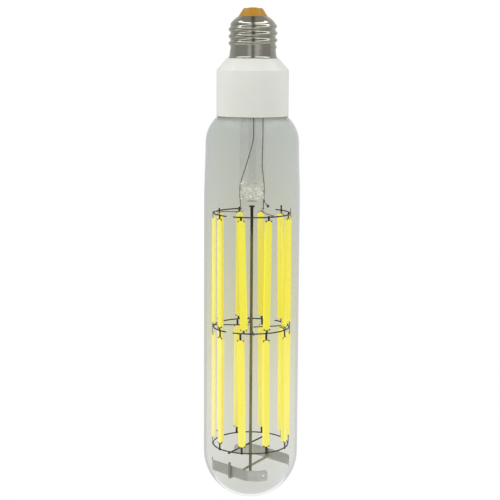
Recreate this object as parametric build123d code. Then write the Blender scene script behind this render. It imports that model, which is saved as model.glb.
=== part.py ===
from build123d import *
from math import acos, atan2, cos, degrees, radians, sin, sqrt
import os

# LED filament bulb, cap up. Millimetres, +Z up towards the contact button.
# The origin is on the axis, on the plane where the screw cap's rim meets the collar.

# Driving dimensions: screw cap
rim_radius = 13.1
rim_height = 0.9
skirt_height = 4.6
thread_root_radius = 12.03
thread_crest_radius = 13.1
thread_pitch = 3.63
thread_turns = 2.8
thread_start_azimuth = 39.7
thread_land = 0.45
ridge_half_width = 1.35
ridge_sink = 0.15
shell_wall = 0.3
dome_knee_radius = 11.2
dome_knee_rise = 1.15
dome_rise = 3.86
insulator_rise = 4.3
shell_opening_radius = 7.9
contact_radius = 2.6
contact_thickness = 0.4
contact_edge = 0.15
contact_stem_radius = 1.3
contact_stem_length = 2.6
insulator_top_radius = 5.0
insulator_wall = 1.5
flange_radius = 9.6
flange_thickness = 2.1
cap_clearance = 0.1

# Driving dimensions: collar
collar_height = 30.8
collar_radius = 19.35
collar_shoulder_drop = 6.3
collar_top_radius = 14.0
collar_wall = 1.7
collar_lip = 1.2
spigot_height = 3.6
spigot_wall = 1.5
spigot_clearance = 0.3
ledge_depth = 12.0
ledge_width = 1.5

# Driving dimensions: glass envelope
bulb_radius = 26.0
glass_wall = 1.1
shoulder_end_radius = 25.2
full_radius_depth = 76.0
shoulder_radius = 18.8
shoulder_drop = 14.2
shoulder_steps = 3
bottom_steps = 7
neck_radius = 15.0
neck_depth = 21.0
adhesive_height = 4.5

# Driving dimensions: stem
stem_radius = 7.1
stem_wall = 1.0
flare_depth = 32.0
flare_knee_depth = 24.5
flare_knee_radius = 9.0
flare_thickness = 1.1
pinch_top_depth = 67.9
pinch_height = 7.6
pinch_taper = 9.0
pinch_half_thickness = 3.2
bore_end_radius = 2.2
bore_end_rise = 0.7
bore_taper = 8.8
arbor_radius = 5.65
arbor_height = 6.5
arbor_round = 1.5
exhaust_radius = 2.2
exhaust_wall = 0.7
exhaust_top_depth = 27.0
exhaust_tip = 3.0
glass_clearance = 0.25

# Driving dimensions: rod, rings and spokes
rod_radius = 0.8
rod_sealed_length = 3.0
rod_foot_drop = 2.1
rod_head_radius = 1.5
rod_head_height = 0.7
ring_radius = 20.75
ring_wire = 0.7
ring_below_pinch = 7.6
upper_tail_room = 3.5
lower_tail_room = 7.1
left_half_start = 71.0
left_half_sweep = 158.0
right_half_start = -118.0
right_half_sweep = 168.0
bead_radius = 1.65
bead_height = 4.6
bead_lift = 0.6
bead_wire_radius = 0.3
bead_wire_root = 1.3
left_bead_wires = (180.0, 94.0)
right_bead_wires = (15.0, -86.0)
spoke_radius = 0.45
spoke_azimuth = 59.5
spoke_overhang = 0.5

# Driving dimensions: filaments
filaments_per_layer = 10
first_azimuth = 4.7
strip_width = 3.7
strip_thickness = 2.0
strip_length = 59.2
strip_corner = 0.9
strip_inset = 0.6
terminal_thickness = 0.25
terminal_head = 0.9
tail_width = 1.1
tail_overhang = 0.5
tail_gap = 0.1

# Filament placing errors, as (turn in degrees, lean in mm from top to bottom, extra top tail)
upper_errors = (
    (0.6, -0.3, 1.9), (-2.1, -0.9, 2.2), (-1.9, -0.8, 1.2), (-3.1, 0.2, 0.4), (-0.5, -0.2, 0.8),
    (0.3, 0.2, 0.0), (-4.1, 0.3, 0.3), (0.1, 1.8, 0.0), (1.4, -0.7, 0.2), (4.1, -2.8, 1.4),
)
lower_errors = (
    (0.2, 0.3, 0.0), (-5.5, -0.3, 0.0), (-3.9, -0.3, 0.0), (-0.9, 0.2, 0.0), (-0.3, 0.3, 0.0),
    (0.5, -0.3, 0.0), (-2.6, 0.0, 0.0), (-0.9, 1.1, 0.0), (0.5, 0.6, 0.0), (1.4, 1.6, 0.0),
)

# Driving dimensions: foot
carrier_drop = 14.4
carrier_wire_radius = 0.7
carrier_upright = 8.9
carrier_front_fall = 2.0
carrier_weld_gap = 0.03
carrier_back_rise = 2.1
carrier_front_slide = 0.85
carrier_back_slide = -2.5
bulb_end_rise = 10.6
spring_thickness = 0.3
spring_width = 5.8
spring_below_carrier = 1.0
spring_back_rise = 2.4
spring_end_round = 1.6
spring_hole_radius = 0.8
spring_hole_azimuth = -70.5
spring_offset = 16.05
spring_run_angle = -45.0
spring_run_before = 14.0
spring_run_after = 12.5
spring_bow_azimuth = -80.0
spring_bends = (4.0, 6.0, 3.0)
spring_tail = (-21.3, 5.4, 0)
spring_tip = (9.3, -19.4, 0)

# Driving dimensions: wires and driver
lead_radius = 0.25
lead_seal_x = 6.3
lead_drop_x = 0.2
lead_left_bends = ((0.7, -3.2, 25.0), (-2.3, -3.0, 14.0), (-4.8, -1.6, 5.5))
lead_right_bends = ((5.75, 0.0, 29.0), (5.4, 0.0, 10.0))
lead_right_turn = (0.3, -28.0)
lead_left_ring_azimuth = 177.5
lead_right_ring_azimuth = -58.0
getter_wire_radius = 0.2
getter_bead_radius = 0.75
getter_bead_height = 1.7
getter_reach = 1.9
getter_drop = 3.6
getter_weld = 1.2
board_radius = 17.6
board_thickness = 1.2
capacitor_radius = 4.0
capacitor_height = 13.0
capacitor_place = (-4.8, -1.0)
inductor_radius = 4.0
inductor_height = 4.6
inductor_place = (5.0, -8.6)
resistor_radius = 1.6
resistor_bottom = 6.2
resistor_height = 8.0
resistor_place = (3.6, 1.0)
resistor_lead_radius = 0.35
bridge_size = (4.7, 4.0, 1.6)
bridge_place = (-8.0, 6.0)
chip_size = (5.0, 4.0, 1.5)
chip_place = (8.0, 7.0)
hookup_radius = 0.45
hookup_sink = 0.05
live_bend_rises = (2.4, 1.2)
neutral_azimuth = 128.0
neutral_inset = 0.5
neutral_height = 7.0

# Worked-out places
thread_start = skirt_height + ridge_half_width + thread_land
thread_height = thread_pitch * thread_turns
dome_start = thread_start + thread_height + ridge_half_width + thread_land / 2
dome_knee_height = dome_start + dome_knee_rise
shell_top = dome_start + dome_rise
insulator_top_z = shell_top + insulator_rise
cap_top_z = insulator_top_z + contact_thickness
shoulder_z = -collar_height - shoulder_drop
shoulder_centre = shoulder_end_radius - shoulder_radius
shoulder_sweep = degrees(acos((neck_radius - shoulder_centre) / shoulder_radius))
neck_end_z = shoulder_z + shoulder_radius * sin(radians(shoulder_sweep))
pinch_top_z = -pinch_top_depth
pinch_bottom_z = pinch_top_z - pinch_height
bore_end_z = pinch_top_z + bore_end_rise
arbor_bottom_z = pinch_bottom_z - arbor_height
upper_ring_z = pinch_bottom_z - ring_below_pinch
middle_ring_z = upper_ring_z - strip_length - upper_tail_room
lower_ring_z = middle_ring_z - strip_length - lower_tail_room
carrier_z = lower_ring_z - carrier_drop
bottom_centre_z = carrier_z + bulb_end_rise
weld_radius = ring_radius + ring_wire / 2
terminal_radius = weld_radius + terminal_thickness / 2
strip_radius = terminal_radius - strip_inset
rod_top_z = arbor_bottom_z + rod_sealed_length
rod_bottom_z = carrier_z - rod_foot_drop
spring_bottom_z = carrier_z - spring_below_carrier
board_bottom_z = -ledge_depth - board_thickness
spigot_radius = thread_root_radius - shell_wall - spigot_clearance
bore_radius = spigot_radius - spigot_wall
ledge_radius = board_radius - ledge_width + glass_clearance


def turned(*points):
    """A solid of revolution about the bulb's axis from its half section."""
    return revolve(Plane.XZ * make_face(Polyline(*points, close=True)), Axis.Z)


def cylinder(radius, bottom, top, place=(0, 0)):
    """An upright cylinder between two heights."""
    return Pos(place[0], place[1], (bottom + top) / 2) * Cylinder(radius, top - bottom)


def wire(radius, *points):
    """A round wire with mitred corners along a route."""
    path = Polyline(*points)
    section = Plane(origin=path @ 0, z_dir=path % 0) * Circle(radius)
    return sweep(section, path=path, transition=Transition.RIGHT)


def on_ring(radius, azimuth, height):
    """A point at a radius and azimuth about the axis."""
    return (radius * cos(radians(azimuth)), radius * sin(radians(azimuth)), height)


def save(name, shape):
    """Write one piece under its node name."""
    export_step(shape, f"parts/{name}.step")


# Screw cap
def thread_ridge(height, narrowing=0.0):
    """One helical ridge of the rolled thread, narrowing inwards if an angle is given."""
    path = Helix(thread_pitch, height, thread_root_radius, cone_angle=-narrowing)
    rise = thread_crest_radius - thread_root_radius
    section = Polyline(
        (-ridge_sink, -ridge_half_width), (rise, 0), (-ridge_sink, ridge_half_width), close=True
    )
    start = Plane(origin=path @ 0, x_dir=Vector(1, 0, 0), z_dir=path % 0)
    return sweep(start * make_face(section), path=path, is_frenet=True)


def screw_shell():
    """The rolled sheet shell with its thread, run out into the sheet at both ends."""
    inner_root = thread_root_radius - shell_wall
    body = turned(
        (rim_radius, 0), (rim_radius, rim_height), (thread_root_radius, skirt_height),
        (thread_root_radius, dome_start), (dome_knee_radius, dome_knee_height),
        (shell_opening_radius, shell_top), (shell_opening_radius, shell_top - shell_wall),
        (dome_knee_radius - shell_wall, dome_knee_height - shell_wall),
        (inner_root, dome_start - shell_wall), (inner_root, skirt_height),
        (rim_radius - shell_wall, rim_height), (rim_radius - shell_wall, 0),
    )
    run_out_height = thread_pitch / 3
    rise = thread_crest_radius - thread_root_radius
    run_out_angle = degrees(atan2(rise + ridge_sink / 2, run_out_height))
    run_out = thread_ridge(run_out_height, run_out_angle)
    top_run_out = Pos(0, 0, thread_height) * Rot(0, 0, 360 * thread_turns) * run_out
    low_run_out = Rot(180, 0, 0) * run_out
    to_start = Pos(0, 0, thread_start) * Rot(0, 0, thread_start_azimuth)
    shell = body + to_start * thread_ridge(thread_height)
    return shell + to_start * top_run_out + to_start * low_run_out


def cap_insulator():
    """The moulded cone that carries the contact, held under the shell's lip."""
    neck = shell_opening_radius - cap_clearance
    flange_top = dome_knee_height + cap_clearance
    flange_bottom = flange_top - flange_thickness
    hole = contact_stem_radius + cap_clearance
    inside = insulator_top_radius - insulator_wall
    return turned(
        (flange_radius, flange_bottom), (flange_radius, flange_top), (neck, flange_top),
        (neck, shell_top), (insulator_top_radius, insulator_top_z), (hole, insulator_top_z),
        (hole, insulator_top_z - insulator_wall), (inside, insulator_top_z - insulator_wall),
        (inside, flange_bottom),
    )


def contact_button():
    """The centre contact with its stem through the insulator."""
    return turned(
        (0, cap_top_z), (contact_radius - contact_edge, cap_top_z),
        (contact_radius, cap_top_z - contact_edge), (contact_radius, insulator_top_z),
        (contact_stem_radius, insulator_top_z),
        (contact_stem_radius, insulator_top_z - contact_stem_length),
        (0, insulator_top_z - contact_stem_length),
    )


# Collar
def collar():
    """The moulded collar: spigot for the cap, ledge for the board, bore for the glass neck."""
    return turned(
        (collar_radius, -collar_height), (collar_radius, -collar_shoulder_drop),
        (collar_top_radius, 0), (spigot_radius, 0), (spigot_radius, spigot_height),
        (bore_radius, spigot_height), (bore_radius, -collar_wall),
        (ledge_radius, -collar_shoulder_drop - collar_wall),
        (ledge_radius, -ledge_depth), (collar_radius - collar_wall, -ledge_depth),
        (collar_radius - collar_wall, -collar_height + collar_lip),
        (collar_radius - collar_wall + collar_lip, -collar_height),
    )


# Glass envelope
def glass_outline(inset):
    """Half outline from the neck's end to the bottom pole, moved in by inset."""
    neck = neck_radius - inset
    points = [(neck, -neck_depth), (neck, neck_end_z)]
    for step in range(1, shoulder_steps + 1):
        angle = radians(shoulder_sweep * (1 - step / shoulder_steps))
        reach = shoulder_radius - inset
        points.append((shoulder_centre + reach * cos(angle), shoulder_z + reach * sin(angle)))
    points.append((bulb_radius - inset, -full_radius_depth))
    for step in range(bottom_steps + 1):
        angle = radians(90 * step / bottom_steps)
        reach = bulb_radius - inset
        points.append((reach * cos(angle), bottom_centre_z - reach * sin(angle)))
    return points


def glass_envelope():
    """The blown bulb, open at its neck."""
    return turned(*glass_outline(0), *reversed(glass_outline(glass_wall)))


def collar_adhesive():
    """The ring of adhesive between the glass neck and the collar's bore."""
    top = neck_end_z + adhesive_height
    ring = cylinder(collar_radius - collar_wall, neck_end_z, top)
    return ring - cylinder(neck_radius, neck_end_z, top)


# Stem and its wires
def stem_glass():
    """Flare, tube, flattened pinch and arbor in one piece of glass."""
    bore = stem_radius - stem_wall
    neck = neck_radius - glass_wall
    flare_top = -neck_depth + flare_thickness
    blank = turned(
        (0, arbor_bottom_z), (arbor_radius - arbor_round, arbor_bottom_z),
        (arbor_radius, arbor_bottom_z + arbor_round), (arbor_radius, pinch_bottom_z),
        (stem_radius, pinch_bottom_z),
        (stem_radius, -flare_depth), (flare_knee_radius, -flare_knee_depth),
        (neck, -neck_depth), (neck_radius, -neck_depth), (neck_radius, flare_top),
        (neck - flare_thickness / 2, flare_top),
        (flare_knee_radius - stem_wall, -flare_knee_depth + flare_thickness / 2),
        (bore, -flare_depth), (bore, bore_end_z + bore_taper),
        (bore_end_radius, bore_end_z), (0, bore_end_z),
    )
    cheek = Polyline(
        (pinch_half_thickness, pinch_bottom_z), (pinch_half_thickness, pinch_top_z),
        (stem_radius + stem_wall, pinch_top_z + pinch_taper),
        (stem_radius + stem_wall, pinch_bottom_z), close=True,
    )
    cutter = extrude(Plane.YZ * make_face(cheek), stem_radius + stem_wall, both=True)
    return blank - cutter - mirror(cutter, Plane.XZ)


def exhaust_tube():
    """The exhaust tube on the axis, sealed at its upper tip and fused in the bore's taper."""
    taper_slope = (stem_radius - stem_wall - bore_end_radius) / bore_taper
    seat_lift = (exhaust_radius + glass_clearance - bore_end_radius) / taper_slope
    bottom = bore_end_z + seat_lift
    bore = exhaust_radius - exhaust_wall
    top = -exhaust_top_depth
    return turned(
        (exhaust_radius, bottom), (exhaust_radius, top - exhaust_tip),
        (exhaust_wall, top), (0, top), (0, top - exhaust_wall),
        (bore, top - exhaust_tip - exhaust_wall / 2), (bore, bottom),
    )


def lead_bends(bends):
    """Route points from bends given as x, y and the height above the pinch."""
    return [(x, y, pinch_top_z + rise) for x, y, rise in bends]


def lead_wire_left():
    """Left lead-in wire: board, stem, pinch, then across onto the left half ring."""
    over_ring = upper_ring_z + ring_wire / 2 + lead_radius
    clear_of_arbor = arbor_radius + lead_radius + glass_clearance
    first_x, first_y, _ = lead_left_bends[0]
    return wire(
        lead_radius, (first_x - lead_drop_x, first_y, board_bottom_z),
        *lead_bends(lead_left_bends), (-lead_seal_x, 0, pinch_top_z),
        (-lead_seal_x, 0, pinch_bottom_z), (-clear_of_arbor, 0, arbor_bottom_z + arbor_round),
        (-clear_of_arbor, 0, over_ring + lead_radius),
        (-clear_of_arbor - 4 * lead_radius, 0, over_ring),
        on_ring(weld_radius, lead_left_ring_azimuth, over_ring),
    )


def lead_wire_right():
    """Right lead-in wire: board, stem, pinch, then forwards onto the right half ring."""
    over_ring = upper_ring_z + ring_wire / 2 + lead_radius
    clear_of_arbor = arbor_radius + lead_radius + glass_clearance
    first_x, first_y, _ = lead_right_bends[0]
    turn_out, turn_azimuth = lead_right_turn
    return wire(
        lead_radius, (first_x - lead_drop_x, first_y, board_bottom_z),
        *lead_bends(lead_right_bends), (lead_seal_x, 0, pinch_top_z),
        (lead_seal_x, 0, pinch_bottom_z), (clear_of_arbor, 0, arbor_bottom_z + arbor_round),
        on_ring(clear_of_arbor + turn_out, turn_azimuth, over_ring),
        on_ring(weld_radius, lead_right_ring_azimuth, over_ring),
    )


def getter():
    """A short wire welded along the right lead, with the getter bead at its end."""
    beside = lead_seal_x + lead_radius + getter_wire_radius
    top = pinch_bottom_z - getter_wire_radius
    end = (beside + getter_reach, 0, top - getter_drop)
    stem = wire(getter_wire_radius, (beside, 0, top), (beside, 0, top - getter_weld), end)
    return stem + Pos(*end) * Cylinder(getter_bead_radius, getter_bead_height)


# Rod, rings and spokes
def centre_rod():
    """The rod that carries the frame, with its head sealed in the arbor."""
    shaft = cylinder(rod_radius, rod_bottom_z, rod_top_z)
    return shaft + cylinder(rod_head_radius, rod_top_z - rod_head_height, rod_top_z)


def ring_part(height, start, sweep_angle):
    """A stretch of ring wire at one height, from a start azimuth."""
    section = Pos(ring_radius, height) * Rectangle(ring_wire, ring_wire)
    return Rot(0, 0, start) * revolve(Plane.XZ * section, Axis.Z, sweep_angle)


def level_wire(radius, azimuth, start, end, height, offset=0.0):
    """A straight level wire along one azimuth, shifted sideways by offset."""
    body = Rot(0, 90, 0) * Cylinder(radius, end - start)
    return Rot(0, 0, azimuth) * Pos((start + end) / 2, offset, height) * body


def bead_wires():
    """The four thin wires from the bead: two over the left half ring, two under the right."""
    lift = ring_wire / 2 + bead_wire_radius
    end = weld_radius
    wires = []
    for azimuth in left_bead_wires:
        wires += level_wire(bead_wire_radius, azimuth, bead_wire_root, end, middle_ring_z + lift)
    for azimuth in right_bead_wires:
        wires += level_wire(bead_wire_radius, azimuth, bead_wire_root, end, middle_ring_z - lift)
    return Compound(children=wires)


def rod_bead():
    """The glass bead that insulates the middle rings from the rod."""
    top = middle_ring_z + bead_lift + bead_height / 2
    bottom = top - bead_height
    bead = cylinder(bead_radius, bottom, top) - cylinder(rod_radius, bottom, top)
    return bead - bead_wires()


def lower_ring_spoke():
    """The spoke across the lower ring, under it and beside the rod."""
    height = lower_ring_z - ring_wire / 2 - spoke_radius
    reach = ring_radius + spoke_overhang
    return level_wire(
        spoke_radius, spoke_azimuth, -reach, reach, height, offset=rod_radius + spoke_radius
    )


# Filaments
def terminal_head_plate(end):
    """Flat outline of the terminal's head, which sits in the slot at one end of a strip."""
    shoulder = strip_length / 2 - strip_corner
    return Pos(0, end * (shoulder + terminal_head / 2)) * Rectangle(strip_width, terminal_head)


def terminal_plate(outline):
    """A flat terminal shape in its plane, nearer the strip's outer face."""
    return Pos(strip_inset, 0, 0) * extrude(Plane.YZ * outline, terminal_thickness / 2, both=True)


def filament_strip():
    """One coated strip, upright at azimuth 0, with cut corners and a slot at each end."""
    outline = chamfer(Rectangle(strip_width, strip_length).vertices(), strip_corner)
    strip = extrude(Plane.YZ * outline, strip_thickness / 2, both=True)
    return strip - terminal_plate(terminal_head_plate(1)) - terminal_plate(terminal_head_plate(-1))


def terminal(end, tail_length):
    """The flat terminal at one end of a strip: a head in its slot and a tail to the ring."""
    tail_start = strip_length / 2 - strip_corner + terminal_head
    tail = Pos(0, end * (tail_start + tail_length / 2)) * Rectangle(tail_width, tail_length)
    return terminal_plate(terminal_head_plate(end) + tail)


def placed(shape, azimuth, lean, span, centre_z):
    """Move an upright shape at azimuth 0 to its leaning place on the rings."""
    tilt = degrees(atan2(lean, span))
    return Rot(0, 0, azimuth) * Pos(strip_radius, 0, centre_z) * Rot(tilt, 0, 0) * shape


def save_layer(layer, top_z, bottom_z, errors, top_overhang, bottom_overhang):
    """Ten filaments between two rings, with their terminals in two groups."""
    span = top_z - bottom_z
    centre_z = (top_z + bottom_z) / 2
    to_ring = span / 2 - strip_length / 2 + strip_corner - terminal_head
    tops = []
    bottoms = []
    for index in range(filaments_per_layer):
        turn, lean, extra_tail = errors[index % len(errors)]
        azimuth = first_azimuth + 360 / filaments_per_layer * index + turn
        place = (azimuth, lean, span, centre_z)
        save(f"{layer}_filament_{index + 1:02d}", placed(filament_strip(), *place))
        tops.append(placed(terminal(1, to_ring + top_overhang + extra_tail), *place))
        bottoms.append(placed(terminal(-1, to_ring + bottom_overhang), *place))
    save(f"{layer}_top_terminals", Compound(children=tops))
    save(f"{layer}_bottom_terminals", Compound(children=bottoms))


# Foot
def along_run():
    """The level direction in which the front spring runs past its upright."""
    return Vector(cos(radians(spring_run_angle)), sin(radians(spring_run_angle)))


def uprights():
    """Where the two uprights stand: the front one outside its spring, the back one inside."""
    along = along_run()
    outward = along.rotate(Axis.Z, -90)
    touch = carrier_wire_radius + spring_thickness / 2
    front = outward * (spring_offset + touch) + along * carrier_front_slide
    back = -outward * (spring_offset - touch) + along * carrier_back_slide
    return front, back


def spring_carrier():
    """The bent wire beside the rod's end, with its tips turned up to carry the springs."""
    front, back = uprights()
    beside = along_run() * -(rod_radius + carrier_wire_radius + carrier_weld_gap)
    lift = Vector(0, 0, carrier_upright)
    front_corner = front + Vector(0, 0, carrier_z - carrier_front_fall)
    back_corner = back + Vector(0, 0, carrier_z + carrier_back_rise)
    middle = beside + Vector(0, 0, carrier_z)
    return wire(
        carrier_wire_radius, front_corner + lift, front_corner, middle, back_corner,
        back_corner + lift,
    )


def leaf_spring():
    """The front leaf spring: a bowed strip with rounded ends and a hole near its tip."""
    to_pole = bottom_centre_z - spring_bottom_z
    glass_reach = sqrt((bulb_radius - glass_wall) ** 2 - to_pole ** 2)
    bow_reach = glass_reach - spring_thickness / 2 - glass_clearance
    along = along_run()
    seat = along.rotate(Axis.Z, -90) * spring_offset
    path = FilletPolyline(
        spring_tail, seat - along * spring_run_before, seat + along * spring_run_after,
        on_ring(bow_reach, spring_bow_azimuth, 0), spring_tip, radius=spring_bends,
    )
    strip = Pos(0, 0, spring_bottom_z) * extrude(trace(path, spring_thickness), spring_width)
    corners = strip.edges().filter_by(
        lambda edge: edge.length < 2 * spring_thickness and abs(edge.tangent_at(0.5).Z) < 0.1
    )
    strip = fillet(corners, spring_end_round)
    drill = level_wire(
        spring_hole_radius, spring_hole_azimuth, spring_offset, bulb_radius,
        spring_bottom_z + spring_width / 2,
    )
    return strip - drill


# Driver in the collar
def driver_parts():
    """The driver board and what stands on it or hangs under it."""
    top = -ledge_depth
    board = cylinder(board_radius, board_bottom_z, top)
    capacitor = cylinder(capacitor_radius, top, top + capacitor_height, capacitor_place)
    inductor = cylinder(inductor_radius, top, top + inductor_height, inductor_place)
    resistor_top = resistor_bottom + resistor_height
    resistor = cylinder(resistor_radius, resistor_bottom, resistor_top, resistor_place)
    resistor += cylinder(resistor_lead_radius, top, resistor_bottom, resistor_place)
    bridge = Pos(*bridge_place, board_bottom_z - bridge_size[2] / 2) * Box(*bridge_size)
    chip = Pos(*chip_place, board_bottom_z - chip_size[2] / 2) * Box(*chip_size)
    return {
        "driver_board": board,
        "filter_capacitor": capacitor,
        "inductor": inductor,
        "fuse_resistor": resistor,
        "rectifier_bridge": bridge,
        "driver_chip": chip,
    }


def live_wire():
    """The wire from the contact's stem down to the fuse resistor."""
    stem_end = insulator_top_z - contact_stem_length
    resistor_top = resistor_bottom + resistor_height
    first_rise, last_rise = live_bend_rises
    return wire(
        hookup_radius, (0, 0, stem_end), (0, 0, resistor_top + first_rise),
        (*resistor_place, resistor_top + last_rise), (*resistor_place, resistor_top),
    )


def neutral_wire():
    """The wire from the board up to the shell's inner wall."""
    inner = bore_radius - hookup_radius - neutral_inset
    wall = thread_root_radius - shell_wall - hookup_sink
    return wire(
        hookup_radius, on_ring(inner, neutral_azimuth, -ledge_depth),
        on_ring(inner, neutral_azimuth, neutral_height),
        on_ring(wall, neutral_azimuth, neutral_height),
    )


# Write every piece
os.makedirs("parts", exist_ok=True)
rod = centre_rod()
lead_left = lead_wire_left()
lead_right = lead_wire_right()
save("contact_button", contact_button())
save("cap_insulator", cap_insulator())
save("screw_shell", screw_shell())
save("collar", collar())
save("glass_envelope", glass_envelope())
save("collar_adhesive", collar_adhesive())
save("glass_stem", stem_glass() - rod - lead_left - lead_right)
save("exhaust_tube", exhaust_tube())
save("lead_wire_left", lead_left)
save("lead_wire_right", lead_right)
save("getter", getter())
save("centre_rod", rod)
save("upper_half_ring_left", ring_part(upper_ring_z, left_half_start, left_half_sweep))
save("upper_half_ring_right", ring_part(upper_ring_z, right_half_start, right_half_sweep))
save("middle_half_ring_left", ring_part(middle_ring_z, left_half_start, left_half_sweep))
save("middle_half_ring_right", ring_part(middle_ring_z, right_half_start, right_half_sweep))
save("lower_ring", ring_part(lower_ring_z, 0, 360))
save("rod_bead", rod_bead())
save("bead_wires", bead_wires())
save("lower_ring_spoke", lower_ring_spoke())
save("spring_carrier", spring_carrier())
front_spring = leaf_spring()
save("leaf_spring_front", front_spring)
save("leaf_spring_back", Pos(0, 0, spring_back_rise) * Rot(0, 0, 180) * front_spring)
save_layer("upper", upper_ring_z, middle_ring_z, upper_errors, tail_overhang, -tail_gap)
save_layer("lower", middle_ring_z, lower_ring_z, lower_errors, -tail_gap, tail_overhang)
for name, shape in driver_parts().items():
    save(name, shape)
save("live_wire", live_wire())
save("neutral_wire", neutral_wire())
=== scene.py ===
"""Looks for the tubular LED filament bulb, cap up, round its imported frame."""
from math import atan, atan2, cos, pi, radians, sin

import bmesh
import bpy
from mathutils import Matrix, Vector


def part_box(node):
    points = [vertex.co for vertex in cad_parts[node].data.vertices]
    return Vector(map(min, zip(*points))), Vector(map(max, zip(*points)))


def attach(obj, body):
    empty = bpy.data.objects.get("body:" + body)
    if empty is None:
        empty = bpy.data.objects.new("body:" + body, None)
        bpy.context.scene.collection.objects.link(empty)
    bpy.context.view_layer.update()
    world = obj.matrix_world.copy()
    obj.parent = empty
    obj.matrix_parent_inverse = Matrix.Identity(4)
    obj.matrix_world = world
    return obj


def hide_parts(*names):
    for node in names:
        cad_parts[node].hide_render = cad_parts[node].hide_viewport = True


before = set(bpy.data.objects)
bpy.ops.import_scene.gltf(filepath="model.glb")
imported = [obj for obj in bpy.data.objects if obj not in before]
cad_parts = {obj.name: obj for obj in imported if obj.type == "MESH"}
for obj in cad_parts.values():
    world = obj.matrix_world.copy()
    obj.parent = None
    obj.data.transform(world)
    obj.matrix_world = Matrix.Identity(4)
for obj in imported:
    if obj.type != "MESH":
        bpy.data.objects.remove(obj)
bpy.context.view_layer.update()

MM = 0.001

# Distances within which vertices are merged
MESH_MERGE = 1e-6
RING_MERGE = 1e-7
CAD_MERGE = 2e-6

# Camera, from the photograph's perspective
EYE = (0.0, -0.709, 0.005)
AIM = (-0.0009, 0.0, -0.1035)
FOCAL_PIXELS = 1315.0
PHOTO_WIDTH = 500.0
CAMERA_ROLL = radians(0.35)

# Screw cap, in millimetres
THREAD_PITCH = 3.63
THREAD_PHASE_Z = 6.0
THREAD_WHOLE = (6.4, 16.56)
THREAD_RUN_OUT = 1.21
THREAD_SHARPNESS = 1.15
PUSHED_FROM = 3.0
ROOT_RADIUS = 12.03
WALL_START = 5.2
WALL_STEP = 0.18
WALL_ROWS = 71
CREST_RISE = 1.07
RIM_RADIUS = 13.1
SHELL_TOP = 22.0
SHELL_OPENING = 7.9
SHELL_WALL = 0.3

# Collar, in millimetres; each rounding is its centre's radius and height and its own radius
CHAMFER_LOW_ROUND = (18.65, -6.557, 0.7)
CHAMFER_HIGH_ROUND = (13.653, -0.75, 0.75)
COLLAR_FOOT_ROUND = 0.3
COLLAR_INNER = 17.65
CHAMFER_ANGLE = 40.3
# Height of the painted contact shadow along the collar's foot
PAINTED_SHADOW_HEIGHT = 0.28

# Glass, in millimetres
BULB_RADIUS = 25.97
SHOULDER_END_RADIUS = 25.2
GLASS_WALL = 1.1
SHOULDER_RADIUS = 18.8
SHOULDER_Z = -45.0
SHOULDER_SWEEP = 62.8
FULL_RADIUS_Z = -76.0
BOTTOM_CENTRE_Z = -215.9
NECK_RADIUS = 15.0
NECK_TOP = -21.0
NECK_END = -28.28
STEM_RADIUS = 7.1
STEM_WALL = 1.0
PINCH_TOP = -67.9
PINCH_BOTTOM = -75.5
PINCH_TAPER = 9.0
PINCH_HALF_THICKNESS = 3.2
PINCH_ROWS = 36
PINCH_RIPPLE = 0.16
RIPPLE_LOW = PINCH_BOTTOM + 0.7
RIPPLE_HIGH = PINCH_TOP + 2.0
BORE_END = -67.2
ARBOR_RADIUS = 5.65
ARBOR_BOTTOM = -82.0
ARBOR_ROUND = 1.4

# The part of the noise that the mottle of every finish spreads out
NOISE_LOW = 0.3
NOISE_HIGH = 0.7

# How the glass tints spread, and the crumpled pinch with its painted glints
EDGE_POWER = 3.5
CENTRE_POWER = 0.55
CRUMPLE_SCALE = 1000.0
CRUMPLE_STRETCH = (0.6, 0.6, 1.3)
CRUMPLE_BUMP = 0.6
CRUMPLE_DEPTH = 0.5 * MM
# Painted glints: the pinch glass glows where the crumple noise peaks
PAINTED_GLINT_FROM = 0.55
PAINTED_GLINT_TO = 0.64
PAINTED_GLINT_GLOW = 0.26

# Welds, in millimetres: the radius, and its shares along each axis
LEAD_WELD = (0.62, (1.25, 1.1, 0.9))
SPOKE_WELD = (0.7, (1, 1, 0.8))
CARRIER_WELD = (0.95, (1, 1, 0.8))

# Rings and wires, in millimetres
RING_RADIUS = 20.75
RING_WIRE_RADIUS = 0.35
UPPER_RING_Z = -83.1
MIDDLE_RING_Z = -145.8
LOWER_RING_Z = -212.1
LEFT_HALF = (71.0, 158.0)
RIGHT_HALF = (-118.0, 168.0)
BEAD_WIRES = ((180.0, 1), (94.0, 1), (15.0, -1), (-86.0, -1))
BEAD_WIRE_RADIUS = 0.3
WELD_RADIUS = 21.1
SPOKE_RADIUS = 0.45
SPOKE_AZIMUTH = 59.5
SPOKE_OVERHANG = 0.5
ROD_RADIUS = 0.8
ROD_HEAD_RADIUS = 1.5
ROD_HEAD_HEIGHT = 0.7
BEAD_ROUND = 0.7
LEAD_RADIUS = 0.25
RIGHT_LEAD_AZIMUTH = -58.0
LEFT_LEAD_AZIMUTH = 177.5
GETTER_PLACE = (8.65, 0.2, -79.3)
GETTER_WIRE_RADIUS = 0.2

# Filaments, in millimetres
GEL_ROUNDING = 0.75

# Foot, in millimetres
CARRIER_RADIUS = 0.7
CARRIER_Z = -226.5
CARRIER_OFFSET = 1.08
CORNER_BEND = 1.8
MIDDLE_BEND = 1.5
FRONT_UPRIGHT = (-11.35, -12.55)
BACK_UPRIGHT = (8.98, 12.52)
FRONT_CORNER_Z = -228.5
BACK_CORNER_Z = -224.4
UPRIGHT_LENGTH = 8.9
SPRING_EDGE_SLOPE = 0.7

# Light of the surroundings, and the floor in metres
WORLD_LEVEL = 0.62
FLOOR_Z = -1.3
FLOOR_SIZE = 8.0
FLOOR_GLOW = 1.08
FLOOR_GLOW_SHARE = 0.85

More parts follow.
